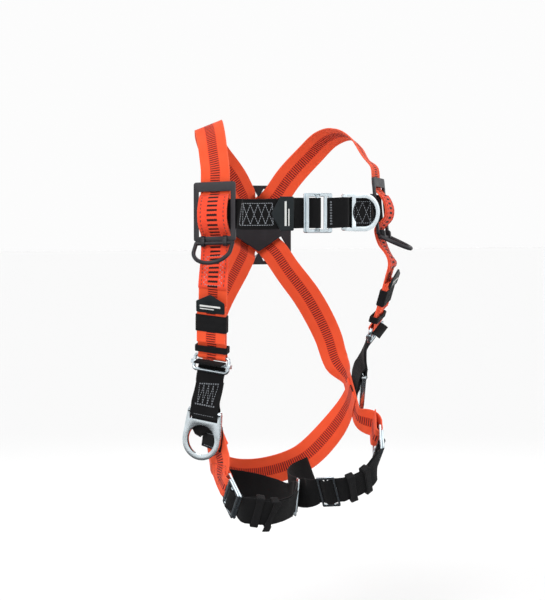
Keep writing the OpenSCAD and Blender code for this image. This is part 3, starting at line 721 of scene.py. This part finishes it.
# ---------------------------------------------------------------- sewing
for tag, rows in (("right", patch_r), ("left", patch_l)):
    a, b = rows[0][4] + 3, rows[-1][4] - 3
    stitches(f"patch_edge_stitching_{tag}", rows, [[(a, v), (b, v)] for v in (-PATCH_SEAM, PATCH_SEAM)],
             M_DARK_THREAD, length=3.4, gap=2.4, thick=THICK)
    top, run = b - 46, 44
    zigzag = [(top + run * k / 12, 15 if k % 2 else 9) for k in range(13)]
    stitches(f"patch_zigzag_stitching_{tag}", rows,
             [zigzag, mirrored(zigzag), across_line(top, 14), across_line(top + run, 14)],
             M_THREAD, thick=FINE)


def along_seat(rows, s, u, lo, n=0.0):
    """How far along the strap the place u, n of a seat is, past lo."""
    return along_of(rows, at(s, u, n), lo)


for tag, rows, h in (("right", rows_hr, hip_r), ("left", rows_hl, hip_l)):
    low = along_seat(rows, h, -14, 30) + 2
    bar = along_seat(rows, h, 4, 40, n=BAR_R)
    end = rows[-1][4]
    doubled = [low - HIP_BOX - 2.4, low - HIP_BOX - 1.2, low + 2.4, low + 1.2]
    stitches(f"hip_strap_stitching_{tag}", rows,
             [zigzag_along(low - HIP_BOX, low, 15.5, 4)]
             + [across_line(s, 16.5) for s in doubled + [bar]]
             + [across_line(end - 3, BOX), across_line(end - 22, BOX)], M_THREAD)
mid = along_of(rows_cr, vec(-92, -92, -133), 0, 200)
diamonds = zigzag_across(mid - 20, mid + 24, 14.5, 2)
stitches("chest_strap_right_stitching", rows_cr,
         [outline(mid - 25, mid + 24, BOX), across_line(mid - 20, BOX), diamonds, mirrored(diamonds)],
         M_THREAD, gap=0.6, thick=MEDIUM)
start = rows_cl[0][4] + 3
diamonds = zigzag_across(start, start + 30, 15, 1)
row = along_of(rows_cl, at(chest_ring, -23, -2), 30, rows_cl[-1][4] * 0.45)
stitches("chest_strap_left_stitching", rows_cl,
         [outline(start, start + 30, BOX), diamonds, mirrored(diamonds), across_line(row, 18),
          across_line(row + DOUBLE_ROW, 18)], M_THREAD)
for tag, rows in (("right", rows_lr), ("left", rows_ll)):
    stitches(f"leg_strap_stitching_{tag}", rows, [outline(4, 40, BOX), zigzag_along(4, 40, BOX, 4)],
             M_THREAD)
for tag, rows in (("right", rows_sr), ("left", rows_sl)):
    cross_box = zigzag_across(60, 84, 15, 1)
    stitches(f"shoulder_loop_stitching_{tag}", rows,
             [outline(60, 84, BOX), cross_box, mirrored(cross_box)], M_RED_THREAD)

# ---------------------------------------------------------------- bands of elastic and webbing
BAND_CORNER = 1.0                 # radius of a band's inner corners
RIB, RIB_PITCH = 0.12, 2.0        # height and distance of its knitted ribs


def band_path(half_v, half_n):
    """The inner outline of a band as [(across, out, and the way outward there)], finer on its sides."""
    corners = []
    for cv, cn, a0 in ((1, 1, 0), (-1, 1, 90), (-1, -1, 180), (1, -1, 270)):
        for k in range(5):
            a = radians(a0 + 22.5 * k)
            corners.append((cv * (half_v - BAND_CORNER), cn * (half_n - BAND_CORNER), cos(a), sin(a)))
    path = []
    for i, q in enumerate(corners):
        path.append(q)
        w = corners[(i + 1) % len(corners)]
        if math.hypot(w[0] - q[0], w[1] - q[1]) > 4:
            path += [(q[0] + (w[0] - q[0]) * k / 8, q[1] + (w[1] - q[1]) * k / 8, q[2], q[3])
                     for k in range(1, 8)]
    return path


def band_walls(length, wall):
    """[(place along, distance from the inner outline)] across a band's wall, with ribs outside."""
    cuts = max(6, int(length / 0.5))
    walls = []
    for i in range(cuts + 1):
        x = -length / 2 + length * i / cuts
        edge = min(1.0, min(i, cuts - i) / 2 + 0.35)
        walls.append((x, BAND_CORNER + wall * edge + RIB * sin(2 * pi * x / RIB_PITCH) * (edge >= 1)))
    return walls + [(length / 2 - 0.1, BAND_CORNER), (-length / 2 + 0.1, BAND_CORNER)]


def band(node, s, u, n_lo, n_hi, length, wall, inside, body=ROOT, droop=0.0, pinch=0.0, skew=0.0):
    """A closed knitted band round a strap, standing for the node. droop lowers its lower side in
    front, pinch narrows its front and skew slants it."""
    mid_n, half_n, half_v = (n_lo + n_hi) / 2, (n_hi - n_lo) / 2, inside / 2
    path, walls = band_path(half_v, half_n), band_walls(length, wall)
    k, m = len(path), len(walls)
    runs = [0.0]
    for i in range(k):
        a, b = path[i], path[(i + 1) % k]
        runs.append(runs[-1] + math.hypot(a[0] + a[2] - b[0] - b[2], a[1] + a[3] - b[1] - b[3]))
    points = []
    for x, r in walls:
        for v, n, cv, cn in path:
            front = max(0.0, cn)
            squeeze = 1 - pinch * front * (1 - (v / half_v) ** 2)
            shift = skew * front * v / half_v
            low = droop * max(0.0, -v / half_v) ** 2 * front
            points.append(at(s, u + x * squeeze + shift, mid_n + n + cn * r + low * 0.3, v + cv * r - low))
    faces, uvs = [], []
    for i in range(m):
        x0, x1 = walls[i][0] * MM, walls[(i + 1) % m][0] * MM
        here, there = i * k, ((i + 1) % m) * k
        for j in range(k):
            q = (j + 1) % k
            faces.append((here + j, here + q, there + q, there + j))
            r0, r1 = runs[j] * MM, runs[j + 1] * MM
            uvs.append([(r0, x0), (r1, x0), (r1, x1), (r0, x1)])
    obj = new_object(f"{node}_knit", points, faces, uvs, M_ELASTIC)
    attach(obj, body)
    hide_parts(node)


KNIT_LENGTH, KNIT_WALL = 26, 1.4
WRAP_U, WRAP_LENGTH = 33, 10
for tag, b, u in (("right", bundle_r, -8), ("left", bundle_l, -4)):
    band(f"elastic_keeper_{tag}", b, u, BAND_LO, 3 * PLY - BAND_LO, KNIT_LENGTH, KNIT_WALL,
         WEB_W + 0.8, f"elastic_keeper_{tag}_body")
    band(f"wrap_keeper_{tag}", b, WRAP_U, BAND_LO - 3.9, PLY + SURFACE + 3.2, WRAP_LENGTH, KNIT_WALL,
         WEB_W + 3.4)


def mid_seat(m, k):
    """The seat of a leg strap at the k-th place of its thigh run."""
    route = [q[0] for q in m]
    if k == 0:
        u = unit(route[1] - route[0])
    else:
        a = np.linalg.norm(route[k] - route[k - 1])
        b = np.linalg.norm(route[k + 1] - route[k])
        u = unit(((route[k] - route[k - 1]) * b / a + (route[k + 1] - route[k]) * a / b) / (a + b))
    c = unit(np.cross(m[k][1], u))
    return (route[k], u, c, np.cross(u, c))


LEG_KEEPER_LENGTH, LEG_KEEPER_WALL = 12, 1.6
for name, m, k, u, droop, pinch, skew in (
        ("leg_keeper_outer_right", leg_mid_r, 0, 5.5, 0, 0.1, 0),
        ("leg_keeper_inner_right", leg_mid_r, 1, 1.5, 7, 0.3, 3),
        ("leg_keeper_outer_left", leg_mid_l, 1, 0, 0, 0.1, 0),
        ("leg_keeper_inner_left", leg_mid_l + [by(slide_l, -20, -3)], 2, 0, 0, 0.15, 0)):
    band(name, mid_seat(m, k), u, BAND_LO - 2.1, 1.5 * PLY + SURFACE + 2.8, LEG_KEEPER_LENGTH,
         LEG_KEEPER_WALL, WEB_W + 3.6, droop=droop, pinch=pinch, skew=skew)


# ---------------------------------------------------------------- hardware
SHARP_EDGE = radians(35)


def machined(node, bevel, material, body=ROOT):
    """The CAD shape with its sharp edges rounded, standing for the node."""
    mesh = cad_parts[node].data.copy()
    bm = bmesh.new()
    bm.from_mesh(mesh)
    bmesh.ops.remove_doubles(bm, verts=bm.verts, dist=2e-6)
    bmesh.ops.dissolve_limit(bm, angle_limit=radians(0.8), verts=bm.verts, edges=bm.edges,
                             use_dissolve_boundaries=False)
    sharp = [e for e in bm.edges if len(e.link_faces) == 2 and e.calc_face_angle(0) > SHARP_EDGE]
    bmesh.ops.bevel(bm, geom=sharp, offset=bevel * MM, offset_type="OFFSET", segments=3,
                    profile=0.5, affect="EDGES", clamp_overlap=True)
    bmesh.ops.triangulate(bm, faces=[f for f in bm.faces if len(f.verts) > 4])
    for f in bm.faces:
        f.smooth = True
    bm.to_mesh(mesh)
    bm.free()
    mesh.set_sharp_from_angle(angle=radians(38))
    mesh.materials.clear()
    mesh.materials.append(material)
    obj = bpy.data.objects.new(f"{node}_finished", mesh)
    bpy.context.scene.collection.objects.link(obj)
    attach(obj, body)
    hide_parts(node)


RINGS = ("hip_d_ring_right", "hip_d_ring_left", "chest_d_ring", "back_d_ring")
for node in RINGS:
    machined(node, 1.7, M_RING, f"{node}_body")
for tag in ("right", "left"):
    machined(f"keeper_loop_{tag}", 0.3, M_KEEPER, f"keeper_loop_{tag}_body")
    machined(f"keeper_frame_{tag}", 0.7, M_KEEPER)
    machined(f"torso_adjuster_frame_{tag}", 0.3, M_BUCKLE)
    machined(f"torso_adjuster_bar_{tag}", 0.4, M_BUCKLE,
             f"torso_adjuster_bar_{tag}_body")
    machined(f"leg_slide_{tag}", 0.6, M_BUCKLE)
    machined(f"torso_tag_{tag}", 0.6, M_TAG)
machined("chest_tag", 0.6, M_TAG)
machined("back_plate", 1.0, M_KEEPER)
for buckle in ("chest_buckle_{}", "leg_buckle_{}_right", "leg_buckle_{}_left"):
    machined(buckle.format("catch"), 0.7, M_BUCKLE)
    machined(buckle.format("frame"), 0.7, M_BUCKLE)
    machined(buckle.format("bar"), 0.5, M_BUCKLE)


# ---------------------------------------------------------------- plain marks on the tags
def mark(name, s, bars):
    """Raised pale bars on a tag; each bar is (low u, high u, low v, high v)."""
    points, faces, uvs = [], [], []
    for u0, u1, v0, v1 in bars:
        base = len(points)
        for inset, n in ((0.0, TAG_T - 0.2), (0.0, TAG_T + 0.25), (0.25, TAG_T + 0.4)):
            for u, v in ((u0 + inset, v0 + inset), (u1 - inset, v0 + inset), (u1 - inset, v1 - inset),
                         (u0 + inset, v1 - inset)):
                points.append(at(s, u, n, v))
        for i in range(2):
            for j in range(4):
                a, b = base + 4 * i + j, base + 4 * i + (j + 1) % 4
                faces.append((a, b, b + 4, a + 4))
                uvs.append([(0, 0)] * 4)
        faces += [(base + 8, base + 9, base + 10, base + 11), (base + 3, base + 2, base + 1, base)]
        uvs += [[(0, 0)] * 4] * 2
    obj = new_object(name, points, faces, uvs, M_PALE, set(range(len(faces))))
    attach(obj, ROOT)


def tag_seat(b, u):
    """A tag's seat on the folded bundle, leaning a little so that its point lies lower."""
    lean = 0.06
    return (at(b, u, 3 * PLY + SURFACE + 2.2), unit(b[1] - lean * b[3]), b[2], unit(b[3] + lean * b[1]))


for tag, b, u in (("right", bundle_r, -40), ("left", bundle_l, -36)):
    mark(f"torso_tag_{tag}_mark", tag_seat(b, u), [(2.5, 5.3, -16, 16), (7.6, 9.0, -16, 6)])
mark("chest_tag_mark", chest_tag_seat, [(3, 6, -18, 18), (8.6, 10.2, -18, 7)])

# ---------------------------------------------------------------- stage, lights, camera
def stage_sheet(name, size, drop, material):
    """A level sheet of the stage, drop metres under the harness."""
    bpy.ops.mesh.primitive_plane_add(size=size, location=(0, 0, cad_box[0].z - drop))
    sheet = bpy.context.object
    sheet.name = name
    sheet.data.materials.append(material.m)
    return sheet


floor_paint = Mat("floor_paint")
floor_paint.set(Base_Color=(0.82, 0.82, 0.82), Roughness=0.95)
floor_paint.bsdf.inputs["Specular IOR Level"].default_value = 0.0
stage_sheet("floor", 60, 0.25, floor_paint)

world = bpy.data.worlds.new("studio")
world.use_nodes = True
wt = world.node_tree
sky = wt.nodes.new("ShaderNodeTexCoord")
axes = wt.nodes.new("ShaderNodeSeparateXYZ")
ramp = wt.nodes.new("ShaderNodeValToRGB")
wt.links.new(sky.outputs["Generated"], axes.inputs[0])
wt.links.new(axes.outputs[2], ramp.inputs[0])
wt.links.new(ramp.outputs[0], wt.nodes["Background"].inputs[0])
# (sine of the elevation, brightness): bright horizon, dim band, large soft box overhead
SKY = ((0.0, 0.5), (0.26, 0.5), (0.38, 0.14), (0.80, 0.14), (0.88, 1.0), (1.0, 1.0))
while len(ramp.color_ramp.elements) < len(SKY):
    ramp.color_ramp.elements.new(0.5)
for stop, (where, level) in zip(ramp.color_ramp.elements, SKY):
    stop.position, stop.color = where, (level, level, level, 1.0)
SKY_STRENGTH = 1.95
wt.nodes["Background"].inputs[1].default_value = SKY_STRENGTH
bpy.context.scene.world = world


CENTRE = (0, 0, -0.3)


def add_light(name, kind, place, energy, **settings):
    """A light that points at the middle of the harness."""
    data = bpy.data.lights.new(name, kind)
    data.energy = energy
    for key, value in settings.items():
        setattr(data, key, value)
    obj = bpy.data.objects.new(name, data)
    obj.location = place
    obj.rotation_mode = "QUATERNION"
    obj.rotation_quaternion = (Vector(CENTRE) - Vector(place)).to_track_quat("-Z", "Y")
    bpy.context.scene.collection.objects.link(obj)


add_light("key", "SUN", (-3.0, -3.2, 2.6), 1.5, angle=radians(30))
add_light("fill", "SUN", (3.0, -1.6, 1.4), 0.45, angle=radians(50))
add_light("rim", "AREA", (0.8, 1.8, 0.8), 7, shape="RECTANGLE", size=0.5, size_y=1.2)
# a dark mat under the work that only reflections see, so that the steel has a dark lower edge
mat_cloth = Mat("mat_cloth")
mat_cloth.set(Base_Color=(0.02, 0.02, 0.022), Roughness=1.0)
dark_mat = stage_sheet("dark_mat", 4, 0.24, mat_cloth)
dark_mat.visible_camera = dark_mat.visible_diffuse = dark_mat.visible_shadow = False

YAW, PITCH = radians(23.0), radians(2.874)
camera = bpy.data.objects.new("camera", bpy.data.cameras.new("camera"))
camera.data.lens, camera.data.sensor_width = 101.6, 36.0
camera.data.clip_end = 100
camera.location = (-1.0378, -2.3840, -0.1340)
look = Vector((sin(YAW) * cos(PITCH), cos(YAW) * cos(PITCH), -sin(PITCH)))
camera.rotation_mode = "QUATERNION"
camera.rotation_quaternion = look.to_track_quat("-Z", "Y")
bpy.context.scene.collection.objects.link(camera)
bpy.context.scene.camera = camera
bpy.context.scene.view_settings.view_transform = "Standard"
